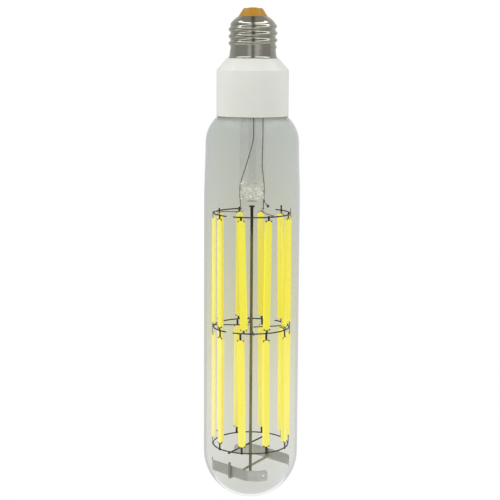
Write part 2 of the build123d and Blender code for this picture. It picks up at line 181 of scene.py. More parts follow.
# Screens, in metres and degrees, their levels by the place across the bulb from left to right
SCREEN_RADIUS = 1.3
SCREEN_HALF_HEIGHT = 1.2
FRONT_HALF_SWEEP = 100
FRONT_LEVELS = (
    (0.0, 0.44), (0.1, 0.44), (0.19, 0.42), (0.27, 0.5), (0.34, 0.78), (0.42, 0.6), (0.475, 0.28),
    (0.52, 0.28), (0.59, 0.6), (0.69, 0.84), (0.79, 0.6), (0.88, 0.42), (1.0, 0.42),
)
UPPER_LEVELS = (
    (0.0, 0.5), (0.1, 0.9), (0.34, 1.0), (0.42, 0.4), (0.475, 0.06), (0.525, 0.06), (0.58, 0.4),
    (0.66, 1.0), (0.9, 1.0), (1.0, 0.7),
)
UPPER_STRENGTH = 3.4
UPPER_HALF_SWEEP = 120
UPPER_HEAD = (0.9, 1.36)
BACK_LEVELS = ((0.0, 0.52), (0.5, 0.75), (1.0, 0.6))
CEILING_LEVELS = ((0.0, 0.45), (0.42, 0.42), (0.5, 0.12), (0.58, 0.42), (1.0, 0.5))
CEILING_Z = 1.4
CEILING_REACH = 1.5
LAMP_AIM = (0, 0, -0.1)


# Mesh helpers
def arc(centre_r, centre_z, radius, start, end, steps):
    """Profile points on an arc, angles in degrees from outward, up positive."""
    points = []
    for step in range(steps + 1):
        angle = radians(start + (end - start) * step / steps)
        points.append((centre_r + radius * cos(angle), centre_z + radius * sin(angle)))
    return points


def lathe(profile, segments=128, closed=True):
    """Spin a half profile in millimetres about the axis."""
    bm = bmesh.new()
    verts = [bm.verts.new((r * MM, 0, z * MM)) for r, z in profile]
    pairs = list(zip(verts, verts[1:]))
    if closed:
        pairs.append((verts[-1], verts[0]))
    edges = [bm.edges.new(pair) for pair in pairs]
    bmesh.ops.spin(
        bm, geom=verts + edges, cent=(0, 0, 0), axis=(0, 0, 1), angle=2 * pi,
        steps=segments, use_merge=True,
    )
    bmesh.ops.remove_doubles(bm, verts=bm.verts, dist=MESH_MERGE)
    bmesh.ops.recalc_face_normals(bm, faces=bm.faces)
    return bm


def tube(points, radius, ring_sides=12, smooth=True):
    """A round wire along a route in millimetres, as a mesh with closed ends."""
    curve = bpy.data.curves.new("route", "CURVE")
    curve.dimensions = "3D"
    curve.bevel_depth = radius * MM
    curve.bevel_resolution = max(1, ring_sides // 4 - 1)
    curve.use_fill_caps = True
    spline = curve.splines.new("NURBS" if smooth else "POLY")
    spline.points.add(len(points) - 1)
    for point, place in zip(spline.points, points):
        point.co = (place[0] * MM, place[1] * MM, place[2] * MM, 1.0)
    if smooth:
        spline.order_u = 3
        spline.use_endpoint_u = True
        spline.resolution_u = 12
    holder = bpy.data.objects.new("route", curve)
    mesh = bpy.data.meshes.new_from_object(holder)
    bm = bmesh.new()
    bm.from_mesh(mesh)
    bmesh.ops.remove_doubles(bm, verts=bm.verts, dist=MESH_MERGE)
    bmesh.ops.recalc_face_normals(bm, faces=bm.faces)
    bpy.data.objects.remove(holder)
    bpy.data.meshes.remove(mesh)
    bpy.data.curves.remove(curve)
    return bm


def join(*parts):
    """Join several bmeshes into one."""
    whole = bmesh.new()
    for part in parts:
        mesh = bpy.data.meshes.new("part")
        part.to_mesh(mesh)
        part.free()
        whole.from_mesh(mesh)
        bpy.data.meshes.remove(mesh)
    return whole


def blob(place, radius, flat):
    """A small weld blob at a place in millimetres, flattened by a share along each axis."""
    bm = bmesh.new()
    bmesh.ops.create_icosphere(bm, subdivisions=2, radius=radius * MM)
    bmesh.ops.scale(bm, vec=flat, verts=bm.verts)
    bmesh.ops.translate(bm, vec=Vector(place) * MM, verts=bm.verts)
    return bm


def ring_arc(radius, wire_radius, height, start, sweep, segments):
    """A stretch of round ring wire about the axis, in millimetres and degrees."""
    bm = bmesh.new()
    bmesh.ops.create_circle(bm, cap_ends=sweep < 360, segments=16, radius=wire_radius * MM)
    turn = Matrix.Rotation(pi / 2, 4, "X")
    bmesh.ops.transform(bm, matrix=turn, verts=bm.verts)
    bmesh.ops.translate(bm, vec=(radius * MM, 0, height * MM), verts=bm.verts)
    bmesh.ops.rotate(
        bm, cent=(0, 0, 0), matrix=Matrix.Rotation(radians(start), 3, "Z"), verts=bm.verts
    )
    bmesh.ops.spin(
        bm, geom=bm.verts[:] + bm.edges[:] + bm.faces[:], cent=(0, 0, 0), axis=(0, 0, 1),
        angle=radians(sweep), steps=segments, use_merge=sweep >= 360,
    )
    bmesh.ops.remove_doubles(bm, verts=bm.verts, dist=RING_MERGE)
    bmesh.ops.recalc_face_normals(bm, faces=bm.faces)
    return bm


def merge_flats(bm):
    """Make each flat stretch of a mesh a single face."""
    bmesh.ops.dissolve_limit(
        bm, angle_limit=radians(1.0), verts=bm.verts, edges=bm.edges, delimit={"NORMAL"}
    )


def cad_copy(node):
    """A copy of a CAD node's mesh with its vertices merged."""
    bm = bmesh.new()
    bm.from_mesh(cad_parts[node].data)
    bmesh.ops.remove_doubles(bm, verts=bm.verts, dist=CAD_MERGE)
    return bm


def flat_copy(node):
    """A copy of a CAD node's mesh, with its flat stretches made single faces."""
    bm = cad_copy(node)
    merge_flats(bm)
    return bm


def filled_copy(node):
    """A copy of a CAD node's mesh with its slots closed over."""
    bm = cad_copy(node)
    skin = bmesh.ops.convex_hull(bm, input=bm.verts[:])
    inner = [item for item in skin["geom_interior"] if isinstance(item, bmesh.types.BMVert)]
    bmesh.ops.delete(bm, geom=list(set(inner)), context="VERTS")
    hull = set(skin["geom"])
    spare = [face for face in bm.faces if face not in hull]
    bmesh.ops.delete(bm, geom=spare, context="FACES")
    bmesh.ops.recalc_face_normals(bm, faces=bm.faces)
    merge_flats(bm)
    return bm


def piece(name, bm, material, slot, *nodes, sharp=40.0):
    """Make a finished piece that rides the frame and stands for its CAD nodes."""
    mesh = bpy.data.meshes.new(name)
    bm.to_mesh(mesh)
    bm.free()
    for face in mesh.polygons:
        face.use_smooth = True
    mesh.set_sharp_from_angle(angle=radians(sharp))
    body = bpy.data.objects.new(name, mesh)
    bpy.context.scene.collection.objects.link(body)
    mesh.materials.append(material)
    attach(body, "root")
    if nodes:
        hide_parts(*nodes)
    return body


def polar(radius, azimuth, height):
    """A place in millimetres from its radius, azimuth and height."""
    return (radius * cos(radians(azimuth)), radius * sin(radians(azimuth)), height)


# Materials
def mottle_group():
    """Two colours, a roughness and a height, varied by one stretched noise."""
    group = bpy.data.node_groups.new("mottle", "ShaderNodeTree")
    sockets = (
        ("Colour A", "NodeSocketColor"), ("Colour B", "NodeSocketColor"),
        ("Scale", "NodeSocketFloat"), ("Stretch", "NodeSocketVector"),
        ("Rough Low", "NodeSocketFloat"), ("Rough High", "NodeSocketFloat"),
    )
    for name, kind in sockets:
        group.interface.new_socket(name, in_out="INPUT", socket_type=kind)
    group.interface.new_socket("Colour", in_out="OUTPUT", socket_type="NodeSocketColor")
    group.interface.new_socket("Roughness", in_out="OUTPUT", socket_type="NodeSocketFloat")
    group.interface.new_socket("Height", in_out="OUTPUT", socket_type="NodeSocketFloat")
    nodes, links = group.nodes, group.links
    entry = nodes.new("NodeGroupInput")
    leave = nodes.new("NodeGroupOutput")
    coords = nodes.new("ShaderNodeTexCoord")
    stretch = nodes.new("ShaderNodeVectorMath")
    stretch.operation = "MULTIPLY"
    noise = nodes.new("ShaderNodeTexNoise")
    noise.inputs["Detail"].default_value = 4.0
    spread = nodes.new("ShaderNodeMapRange")
    spread.inputs["From Min"].default_value = NOISE_LOW
    spread.inputs["From Max"].default_value = NOISE_HIGH
    mix = nodes.new("ShaderNodeMix")
    mix.data_type = "RGBA"
    rough = nodes.new("ShaderNodeMapRange")
    links.new(coords.outputs["Object"], stretch.inputs[0])
    links.new(entry.outputs["Stretch"], stretch.inputs[1])
    links.new(stretch.outputs[0], noise.inputs["Vector"])
    links.new(entry.outputs["Scale"], noise.inputs["Scale"])
    links.new(noise.outputs["Fac"], spread.inputs["Value"])
    links.new(spread.outputs["Result"], mix.inputs["Factor"])
    links.new(entry.outputs["Colour A"], mix.inputs["A"])
    links.new(entry.outputs["Colour B"], mix.inputs["B"])
    links.new(spread.outputs["Result"], rough.inputs["Value"])
    links.new(entry.outputs["Rough Low"], rough.inputs["To Min"])
    links.new(entry.outputs["Rough High"], rough.inputs["To Max"])
    links.new(mix.outputs["Result"], leave.inputs["Colour"])
    links.new(rough.outputs["Result"], leave.inputs["Roughness"])
    links.new(spread.outputs["Result"], leave.inputs["Height"])
    return group


MOTTLE = mottle_group()


def linear(red, green, blue):
    """A linear colour from sRGB values of 0 to 255."""
    def channel(value):
        share = value / 255
        return share / 12.92 if share <= 0.04045 else ((share + 0.055) / 1.055) ** 2.4
    return (channel(red), channel(green), channel(blue), 1.0)


def axis_ramp(tree, stops, low, high, axis="Z"):
    """A colour that changes along one axis of the bulb, between two places in millimetres."""
    coords = tree.nodes.new("ShaderNodeTexCoord")
    split = tree.nodes.new("ShaderNodeSeparateXYZ")
    spread = tree.nodes.new("ShaderNodeMapRange")
    spread.inputs["From Min"].default_value = low * MM
    spread.inputs["From Max"].default_value = high * MM
    ramp = tree.nodes.new("ShaderNodeValToRGB")
    elements = ramp.color_ramp.elements
    while len(elements) < len(stops):
        elements.new(0.5)
    for element, (place, colour) in zip(elements, stops):
        element.position = place
        element.color = colour
    tree.links.new(coords.outputs["Object"], split.inputs[0])
    tree.links.new(split.outputs[axis], spread.inputs["Value"])
    tree.links.new(spread.outputs["Result"], ramp.inputs["Fac"])
    return ramp.outputs["Color"]


def multiplied(tree, first, second):
    """Two colours multiplied."""
    mix = tree.nodes.new("ShaderNodeMix")
    mix.data_type = "RGBA"
    mix.blend_type = "MULTIPLY"
    mix.inputs["Factor"].default_value = 1.0
    tree.links.new(first, mix.inputs["A"])
    tree.links.new(second, mix.inputs["B"])
    return mix.outputs["Result"]


def finish(
    name, colour_a, colour_b, scale=80.0, stretch=(1, 1, 1), rough=(0.3, 0.4), metallic=0.0,
    bump=0.0, bump_distance=0.02 * MM, subsurface=0.0, glow=0.0, shades=(),
):
    """A surface finish whose colour, gloss and relief vary with the mottle group."""
    material = bpy.data.materials.new(name)
    material.use_nodes = True
    nodes, links = material.node_tree.nodes, material.node_tree.links
    shader = nodes["Principled BSDF"]
    shader.inputs["Metallic"].default_value = metallic
    mottle = nodes.new("ShaderNodeGroup")
    mottle.node_tree = MOTTLE
    mottle.inputs["Colour A"].default_value = colour_a
    mottle.inputs["Colour B"].default_value = colour_b
    mottle.inputs["Scale"].default_value = scale
    mottle.inputs["Stretch"].default_value = stretch
    mottle.inputs["Rough Low"].default_value = rough[0]
    mottle.inputs["Rough High"].default_value = rough[1]
    colour = mottle.outputs["Colour"]
    for shade in shades:
        colour = multiplied(material.node_tree, colour, axis_ramp(material.node_tree, *shade))
    links.new(colour, shader.inputs["Base Color"])
    links.new(mottle.outputs["Roughness"], shader.inputs["Roughness"])
    if bump:
        relief = nodes.new("ShaderNodeBump")
        relief.inputs["Strength"].default_value = bump
        relief.inputs["Distance"].default_value = bump_distance
        links.new(mottle.outputs["Height"], relief.inputs["Height"])
        links.new(relief.outputs["Normal"], shader.inputs["Normal"])
    if subsurface:
        shader.inputs["Subsurface Weight"].default_value = subsurface
        shader.inputs["Subsurface Scale"].default_value = 1.0 * MM
    # A glow here is painted light on a part that is no lamp
    if glow:
        links.new(colour, shader.inputs["Emission Color"])
        shader.inputs["Emission Strength"].default_value = glow
    return material


def seen_tint(tree, tint, power, level, from_front):
    """The tint multiplied by a level colour where the surface faces the eye, or is edge on."""
    facing = tree.nodes.new("ShaderNodeLayerWeight")
    narrow = tree.nodes.new("ShaderNodeMath")
    narrow.operation = "POWER"
    narrow.inputs[1].default_value = power
    mix = tree.nodes.new("ShaderNodeMix")
    mix.data_type = "RGBA"
    mix.inputs["A" if from_front else "B"].default_value = level
    mix.inputs["B" if from_front else "A"].default_value = (1, 1, 1, 1)
    tree.links.new(facing.outputs["Facing"], narrow.inputs[0])
    tree.links.new(narrow.outputs[0], mix.inputs["Factor"])
    return multiplied(tree, tint, mix.outputs["Result"])


def tinted_glass(
    name, stops, z_low, z_high, bending, edge_tint=None, centre_tint=None, crumple_and_glints=None
):
    """Clear glass with a tint along the bulb that can hold painted shade, more of it at its middle
    or outline, and painted glints where it is crumpled.
    """
    material = bpy.data.materials.new(name)
    material.use_nodes = True
    tree = material.node_tree
    shader = tree.nodes["Principled BSDF"]
    shader.inputs["Transmission Weight"].default_value = 1.0
    shader.inputs["Roughness"].default_value = 0.0
    shader.inputs["IOR"].default_value = bending
    tint = axis_ramp(tree, stops, z_low, z_high)
    if edge_tint:
        tint = seen_tint(tree, tint, EDGE_POWER, edge_tint, from_front=False)
    if centre_tint:
        tint = seen_tint(tree, tint, CENTRE_POWER, centre_tint, from_front=True)
    tree.links.new(tint, shader.inputs["Base Color"])
    if crumple_and_glints:
        coords = tree.nodes.new("ShaderNodeTexCoord")
        stretch = tree.nodes.new("ShaderNodeVectorMath")
        stretch.operation = "MULTIPLY"
        stretch.inputs[1].default_value = CRUMPLE_STRETCH
        noise = tree.nodes.new("ShaderNodeTexNoise")
        noise.inputs["Scale"].default_value = CRUMPLE_SCALE
        noise.inputs["Detail"].default_value = 1.0
        bump = tree.nodes.new("ShaderNodeBump")
        bump.inputs["Strength"].default_value = CRUMPLE_BUMP
        bump.inputs["Distance"].default_value = CRUMPLE_DEPTH
        # Painted glints: emission where the crumple noise peaks, inside the zone
        painted_glint = tree.nodes.new("ShaderNodeMapRange")
        painted_glint.inputs["From Min"].default_value = PAINTED_GLINT_FROM
        painted_glint.inputs["From Max"].default_value = PAINTED_GLINT_TO
        tree.links.new(coords.outputs["Object"], stretch.inputs[0])
        tree.links.new(stretch.outputs[0], noise.inputs["Vector"])
        tree.links.new(noise.outputs["Fac"], bump.inputs["Height"])
        tree.links.new(bump.outputs["Normal"], shader.inputs["Normal"])
        tree.links.new(noise.outputs["Fac"], painted_glint.inputs["Value"])
        zone = axis_ramp(tree, crumple_and_glints, z_low, z_high)
        tree.links.new(
            multiplied(tree, painted_glint.outputs["Result"], zone), shader.inputs["Emission Color"]
        )
        shader.inputs["Emission Strength"].default_value = PAINTED_GLINT_GLOW
    return material


# The envelope's tint is painted shade: greyer and darker towards the top, yellow across the
# filaments as a painted reflection of them, a painted contact shadow just under the collar, and
# darker and warmer where the glass faces the eye
GLASS = tinted_glass(
    "clear_glass",
    (
        (0.0, (0.79, 0.8, 0.775, 1)), (0.07, (0.87, 0.88, 0.875, 1)),
        (0.27, (0.88, 0.88, 0.815, 1)), (0.5, (0.825, 0.825, 0.71, 1)),
        (0.8, (0.76, 0.775, 0.745, 1)), (0.988, (0.73, 0.755, 0.745, 1)),
        (0.998, (0.52, 0.52, 0.47, 1)),
    ),
    z_low=-240.0, z_high=-31.0, bending=1.1,
    edge_tint=(0.97, 0.98, 1, 1), centre_tint=(0.92, 0.915, 0.88, 1),
)
STEM_GLASS = tinted_glass(
    "stem_glass", ((0.0, (0.97, 0.97, 0.97, 1)), (1.0, (0.95, 0.95, 0.955, 1))),
    z_low=-86.0, z_high=-20.0, bending=1.06, edge_tint=(0.9, 0.9, 0.9, 1),
)
# The pinch glass carries painted glints in its crumpled zone
PINCH_GLASS = tinted_glass(
    "pinch_glass", ((0.0, (0.97, 0.97, 0.95, 1)), (1.0, (0.97, 0.97, 0.95, 1))),
    z_low=-86.0, z_high=-60.0, bending=1.4,
    crumple_and_glints=(
        (0.38, (0, 0, 0, 1)), (0.46, (1.0, 0.97, 0.8, 1)), (0.6, (1.0, 0.98, 0.85, 1)),
        (0.7, (0, 0, 0, 1)),
    ),
)
SHELL_METAL = finish(
    "nickel_shell", linear(178, 177, 165), linear(168, 166, 154), scale=90, stretch=(1, 1, 3),
    rough=(0.05, 0.1), metallic=1.0, bump=0.03,
)
CONTACT_METAL = finish(
    "nickel_contact", linear(160, 156, 145), linear(120, 112, 98), scale=300,
    rough=(0.25, 0.45), metallic=1.0, bump=0.2,
)
INSULATOR = finish(
    "orange_insulator", linear(181, 132, 8), linear(168, 118, 5), scale=160,
    rough=(0.35, 0.5), bump=0.1,
)
COLLAR = finish(
    "white_collar", linear(226, 227, 220), linear(221, 223, 213), scale=60,
    rough=(0.3, 0.38), bump=0.06, subsurface=0.05,
)
# Painted contact shadow where the collar meets the glass
COLLAR_PAINTED_SHADOW = finish(
    "collar_painted_shadow", linear(148, 142, 128), linear(120, 114, 100), scale=120, rough=(0.6, 0.75),
)
# Painted shade and reflection along the rod: olive and then near black towards the top, bluer at
# its foot
ROD_PAINTED_SHADE = (
    (0.0, (1, 1, 1.2, 1)), (0.45, (0.95, 0.95, 1.0, 1)), (0.9, (0.58, 0.55, 0.4, 1)),
    (0.96, (0.2, 0.19, 0.15, 1)),
)
ROD_METAL = finish(
    "rod_metal", linear(178, 174, 140), linear(150, 146, 112), scale=120, stretch=(1, 1, 0.2),
    rough=(0.3, 0.45), metallic=1.0, bump=0.1,
    shades=((ROD_PAINTED_SHADE, -229.0, -83.0),),
)
LEAD_METAL = finish(
    "lead_in_wire", linear(172, 170, 162), linear(126, 123, 114), scale=200,
    rough=(0.3, 0.5), metallic=1.0, bump=0.1,
)
WIRE_METAL = finish(
    "nickel_wire", linear(104, 100, 88), linear(66, 62, 52), scale=200,
    rough=(0.3, 0.5), metallic=1.0, bump=0.1,
)
SPRING_METAL = finish(
    "spring_steel", linear(246, 248, 240), linear(232, 234, 226), scale=90, stretch=(1, 1, 4),
    rough=(0.32, 0.46), metallic=1.0, bump=0.1,
)
CARRIER_METAL = finish(
    "carrier_metal", linear(200, 199, 186), linear(172, 170, 156), scale=150,
    rough=(0.3, 0.45), metallic=1.0, bump=0.1,
)
# Paler and bluer towards the bottom of the cage
PHOSPHOR_UPWARD = (
    (0.0, (1, 1, 1.2, 1)), (0.45, (1, 1, 1.05, 1)), (0.55, (1, 0.99, 0.62, 1)),
    (1.0, (1, 0.99, 0.7, 1)),
)
# Painted reflection: paler, bluer strips at the far left and right
PHOSPHOR_PAINTED_SIDE_REFLECTION = (
    (0.05, (1, 1, 3.0, 1)), (0.14, (1, 1, 1.6, 1)), (0.3, (1, 1, 1.05, 1)), (0.78, (1, 1, 1, 1)),
    (0.93, (1, 1, 1.35, 1)),
)
# Painted reflection: paler, bluer strips at the back
PHOSPHOR_PAINTED_BACK_REFLECTION = ((0.6, (1, 1, 1, 1)), (0.9, (0.95, 0.96, 1.7, 1)))
# The strips are no lamps: their glow is painted light
PHOSPHOR = finish(
    "yellow_phosphor", linear(246, 239, 104), linear(243, 231, 88), scale=60, stretch=(1, 1, 0.3),
    rough=(0.45, 0.6), bump=0.2, bump_distance=0.05 * MM, glow=0.38,
    shades=(
        (PHOSPHOR_UPWARD, -212.0, -83.0), (PHOSPHOR_PAINTED_SIDE_REFLECTION, -22.0, 22.0, "X"),
        (PHOSPHOR_PAINTED_BACK_REFLECTION, -22.0, 22.0, "Y"),
    ),
)
TERMINAL_METAL = finish(
    "terminal_metal", linear(112, 106, 90), linear(72, 66, 52), scale=300,
    rough=(0.3, 0.5), metallic=1.0, bump=0.1,
)
GETTER_METAL = finish(
    "getter_metal", linear(120, 136, 158), linear(96, 104, 120), scale=300, rough=(0.3, 0.5),
    metallic=1.0,
)
ADHESIVE = finish(
    "adhesive", linear(222, 216, 198), linear(206, 199, 178), scale=200, rough=(0.6, 0.8), bump=0.4,
)
BOARD = finish(
    "board_laminate", linear(46, 96, 58), linear(38, 82, 48), scale=200, rough=(0.35, 0.5),
)
EPOXY = finish(
    "black_epoxy", linear(38, 38, 38), linear(28, 28, 30), scale=300, rough=(0.45, 0.6), bump=0.2,
)
SLEEVE = finish(
    "capacitor_sleeve", linear(40, 46, 70), linear(30, 36, 58), scale=200, rough=(0.3, 0.4),
)
RESISTOR = finish(
    "resistor_coat", linear(130, 156, 140), linear(116, 140, 126), scale=200, rough=(0.4, 0.5),
)
WIRE_SLEEVE = finish(
    "wire_sleeve", linear(214, 208, 190), linear(200, 194, 176), scale=200, rough=(0.4, 0.5),
)


# Screw cap
def thread_push(turn, height):
    """How far the rolled wall stands out, by its share of a turn and its height."""
    nearest = round((height - THREAD_PHASE_Z) / THREAD_PITCH - turn)
    crest = THREAD_PHASE_Z + THREAD_PITCH * (turn + nearest)
    outside = max(THREAD_WHOLE[0] - crest, crest - THREAD_WHOLE[1], 0)
    fade = max(0, 1 - outside / THREAD_RUN_OUT)
    rise = 0.5 + 0.5 * cos(2 * pi * (height - crest) / THREAD_PITCH)
    return CREST_RISE * rise ** THREAD_SHARPNESS * fade


def screw_shell():
    """The rolled shell: a lathe whose wall is pushed out along the thread."""
    rim = [(12.95, 0.0), (RIM_RADIUS, 0.12), (RIM_RADIUS, 0.42), (12.98, 0.58), (12.82, 0.76)]
    skirt = [(12.68, 1.1), (12.52, 1.8), (12.4, 2.8), (12.32, 3.6), (12.2, 4.3), (12.08, 4.8)]
    wall = [(ROOT_RADIUS, WALL_START + WALL_STEP * row) for row in range(WALL_ROWS)]
    dome = [(11.9, 18.2), (11.7, 18.65), (11.3, 19.2), (10.6, 19.95), (9.7, 20.75), (8.9, 21.35)]
    lip = [(8.3, 21.78), (8.05, SHELL_TOP - 0.06), (SHELL_OPENING, SHELL_TOP)]
    bm = lathe(rim + skirt + wall + dome + lip, segments=160, closed=False)
    for vert in bm.verts:
        height = vert.co.z / MM
        if not PUSHED_FROM < height < dome[0][1]:
            continue
        radius = vert.co.xy.length
        turn = atan2(vert.co.y, vert.co.x) / (2 * pi)
        vert.co.xy *= 1 + thread_push(turn, height) * MM / radius
    shell = piece("screw_shell_rolled", bm, SHELL_METAL, "nickel_shell", "screw_shell", sharp=60)
    sheet = shell.modifiers.new("sheet", "SOLIDIFY")
    sheet.thickness = SHELL_WALL * MM
    sheet.offset = -1.0
    return shell


def cap_insulator():
    """The moulded insulator with its rounded top edge."""
    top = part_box("cap_insulator")[1].z / MM
    profile = [
        (7.8, SHELL_TOP - 1.2), (7.8, SHELL_TOP), (7.62, SHELL_TOP + 0.3),
        (5.4, top - 0.55), (5.15, top - 0.2), (4.75, top), (1.4, top), (1.4, top - 1.2),
        (6.0, SHELL_TOP - 1.2),
    ]
    piece("insulator_cone", lathe(profile, 96), INSULATOR, "orange_insulator", "cap_insulator")


def contact_button():
    """The slightly domed contact with its stem."""
    low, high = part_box("contact_button")
    top = high.z / MM
    profile = [
        (0, top), (1.1, top - 0.02), (2.0, top - 0.08), (2.45, top - 0.17), (2.58, top - 0.28),
        (2.55, top - 0.4), (1.3, top - 0.4), (1.3, low.z / MM), (0, low.z / MM),
    ]
    piece("contact_disc", lathe(profile, 64), CONTACT_METAL, "nickel_contact", "contact_button")


def collar():
    """The collar: straight skirt, wide chamfer and rounded edges, with a painted contact shadow
    along its foot.
    """
    low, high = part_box("collar")
    bottom, spigot = low.z / MM, high.z / MM
    profile = (
        [(18.8, bottom), (19.05, bottom)]
        + arc(19.05, bottom + COLLAR_FOOT_ROUND, COLLAR_FOOT_ROUND, -90, 0, 4)
        + arc(*CHAMFER_LOW_ROUND, 0, CHAMFER_ANGLE, 6)
        + arc(*CHAMFER_HIGH_ROUND, CHAMFER_ANGLE, 90, 6)
        + [(11.43, 0.0), (11.43, spigot), (9.93, spigot), (9.93, -1.7), (16.35, -8.0),
           (16.35, -12.0), (COLLAR_INNER, -12.0), (COLLAR_INNER, bottom + 1.2)]
    )
    bm = lathe(profile, 160)
    # The lowest faces get the painted contact shadow
    for face in bm.faces:
        if face.calc_center_median().z < (bottom + PAINTED_SHADOW_HEIGHT) * MM:
            face.material_index = 1
    body = piece("collar_moulding", bm, COLLAR, "white_collar", "collar", sharp=50)
    body.data.materials.append(COLLAR_PAINTED_SHADOW)


# Glass
def glass_wall_profile(inset):
    """Profile of one face of the envelope, from the neck's end to the bottom pole."""
    neck = NECK_RADIUS - inset
    swell = BULB_RADIUS - SHOULDER_END_RADIUS
    taper = []
    for step in range(1, 12):
        share = step / 12
        radius = SHOULDER_END_RADIUS + swell * share * share * (3 - 2 * share) - inset
        taper.append((radius, SHOULDER_Z + (FULL_RADIUS_Z - SHOULDER_Z) * share))
    return (
        [(neck, NECK_TOP), (neck, NECK_END)]
        + arc(SHOULDER_END_RADIUS - SHOULDER_RADIUS, SHOULDER_Z, SHOULDER_RADIUS - inset,
              SHOULDER_SWEEP, 0, 24)
        + taper + [(BULB_RADIUS - inset, FULL_RADIUS_Z)]
        + arc(0, BOTTOM_CENTRE_Z, BULB_RADIUS - inset, 0, -90, 32)
    )


def glass_envelope():
    """The blown envelope, a thin closed wall open at the neck."""
    profile = glass_wall_profile(0) + glass_wall_profile(GLASS_WALL)[::-1]
    envelope = piece(
        "envelope_blown", lathe(profile, 160), GLASS, "clear_glass", "glass_envelope", sharp=70
    )
    clear_of_light(envelope)


def clear_of_light(body):
    """Keep a glass piece from casting a shadow and from showing in the gloss of others."""
    body.visible_shadow = False
    body.visible_diffuse = False
    body.visible_glossy = False


def stem():
    """Flare, tube, flattened pinch and arbor, one piece of glass with its bore."""
    bore = STEM_RADIUS - STEM_WALL
    pinch = []
    for row in range(PINCH_ROWS + 1):
        height = RIPPLE_LOW + (RIPPLE_HIGH - RIPPLE_LOW) * row / PINCH_ROWS
        pinch.append((STEM_RADIUS - 0.1, height))
    outside = (
        [(0, ARBOR_BOTTOM)]
        + arc(ARBOR_RADIUS - ARBOR_ROUND, ARBOR_BOTTOM + ARBOR_ROUND, ARBOR_ROUND, -90, 0, 6)
        + [(ARBOR_RADIUS, PINCH_BOTTOM - 1.5), (ARBOR_RADIUS + 0.2, PINCH_BOTTOM - 0.6)]
        + [(6.4, PINCH_BOTTOM)] + pinch
        + [(STEM_RADIUS, -63.0), (STEM_RADIUS, -60.0), (STEM_RADIUS, -46.0), (STEM_RADIUS, -32.0)]
        + [(7.6, -27.5), (9.0, -24.5), (11.4, -22.4), (13.9, -21.0), (15.0, -21.0)]
        + [(15.0, -19.95), (13.4, -19.95), (10.7, -21.4), (8.1, -23.9), (6.6, -27.3)]
    )
    inside = [(bore, -32.0), (bore, -46.0), (bore, -58.4), (5.2, -60.9), (4.0, -63.9)]
    floor = [(2.4, -66.7), (0, BORE_END)]
    bm = lathe(outside + inside + floor, 120, closed=False)
    for vert in bm.verts:
        height = vert.co.z / MM
        if not PINCH_BOTTOM - 0.3 < height < PINCH_TOP + PINCH_TAPER:
            continue
        press = min(1, (PINCH_TOP + PINCH_TAPER - height) / PINCH_TAPER)
        vert.co.y *= 1 + (PINCH_HALF_THICKNESS / STEM_RADIUS - 1) * press
        if height < RIPPLE_HIGH and vert.co.xy.length > 2 * MM:
            across = vert.co.x / MM
            side = 1 if vert.co.y > 0 else -1
            ripple = sin(height * 3.1 + 1.3 * sin(across * 1.7)) + 0.7 * sin(across * 3.3 + height)
            vert.co.y += PINCH_RIPPLE * ripple * side * MM
    bmesh.ops.recalc_face_normals(bm, faces=bm.faces)
    for face in bm.faces:
        if PINCH_BOTTOM + 0.2 < face.calc_center_median().z / MM < PINCH_TOP + 1.5:
            face.material_index = 1
    body = piece("stem_and_flare", bm, STEM_GLASS, "stem_glass", "glass_stem", sharp=70)
    body.data.materials.append(PINCH_GLASS)
    clear_of_light(body)


def exhaust_tube():
    """The exhaust tube on the axis with its sealed tip."""
    low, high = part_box("exhaust_tube")
    bottom, top = low.z / MM, high.z / MM
    profile = (
        [(2.2, bottom), (2.2, top - 3.2), (1.9, top - 1.8), (1.2, top - 0.6), (0.5, top - 0.1)]
        + [(0, top), (0, top - 0.8), (0.6, top - 1.2), (1.3, top - 2.6), (1.5, top - 3.6)]
        + [(1.5, bottom)]
    )
    body = piece("exhaust_tube_drawn", lathe(profile, 64), STEM_GLASS, "stem_glass", "exhaust_tube")
    clear_of_light(body)


# Wires of the stem
def lead_wires():
    """The two lead-in wires, from the board down to the upper half rings."""
    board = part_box("driver_board")[0].z / MM
    over = UPPER_RING_Z + RING_WIRE_RADIUS + LEAD_RADIUS
    left = (
        (0.5, -3.2, board), (0.6, -3.2, -30), (0.75, -3.2, -41), (0.2, -3.2, -45.5),
        (-2.2, -3.0, -53.5), (-4.7, -1.7, -61.9), (-6.1, -0.3, -66.5), (-6.3, 0, -69),
        (-6.35, 0, -75.0), (-6.3, 0, -77.5), (-6.15, 0, -81.0), (-6.4, 0.1, over),
        (-8.0, 0.3, over), polar(WELD_RADIUS, LEFT_LEAD_AZIMUTH, over),
    )
    right = (
        (5.55, 0, board), (5.7, 0, -34), (5.75, 0, -41), (5.6, 0, -49), (5.4, 0, -56.5),
        (5.6, 0, -61.5), (6.2, 0, -66.5), (6.35, 0, -69.5), (6.35, 0, -75.0), (6.25, 0, -78.0),
        (6.1, -0.3, -81.0), (5.9, -2.0, over + 0.1), (6.1, -4.0, over),
        polar(WELD_RADIUS, RIGHT_LEAD_AZIMUTH, over),
    )
    piece("lead_wire_left_drawn", tube(left, LEAD_RADIUS), LEAD_METAL, "nickel_wire",
          "lead_wire_left")
    weld = blob(polar(RING_RADIUS, RIGHT_LEAD_AZIMUTH, over - 0.1), *LEAD_WELD)
    piece("lead_wire_right_drawn", join(tube(right, LEAD_RADIUS), weld), LEAD_METAL, "nickel_wire",
          "lead_wire_right")


